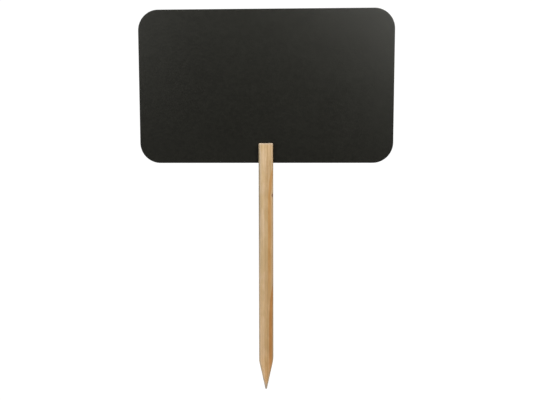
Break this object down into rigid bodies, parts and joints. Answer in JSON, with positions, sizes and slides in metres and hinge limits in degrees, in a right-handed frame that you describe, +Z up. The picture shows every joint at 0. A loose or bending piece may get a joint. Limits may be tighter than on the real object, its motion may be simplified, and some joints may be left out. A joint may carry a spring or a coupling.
{
  "type": "plant label stake",
  "caption": "Plant label: a matt black chalk writing board with round corners, held in a saw slot in the top of a square pointed wooden stake.",
  "frame": {"origin": "the tip of the stake, on the stake's centre line, under the middle of the board", "axes": "+Z up the stake towards the board, +X along the board's width to the right seen from the front, -Y is the front; the board's middle plane is Y = 0"},
  "size_m": [0.2, 0.0114, 0.3029],
  "materials": {
    "stake_wood": "planed pale softwood, unfinished",
    "board_edge": "hard fibre board, edge painted matt black",
    "writing_surface": "smooth matt black writing sheet"
  },
  "bodies": {
    "stake": {"stake": "stake_wood"},
    "board": {"board_core": "board_edge", "front_writing_sheet": "writing_surface", "back_writing_sheet": "writing_surface"}
  },
  "joints": [
    {"name": "board_lift", "type": "slide", "parent": "stake", "child": "board", "axis": [0, 0, 1], "range_m": [0, 0.02]}
  ]
}
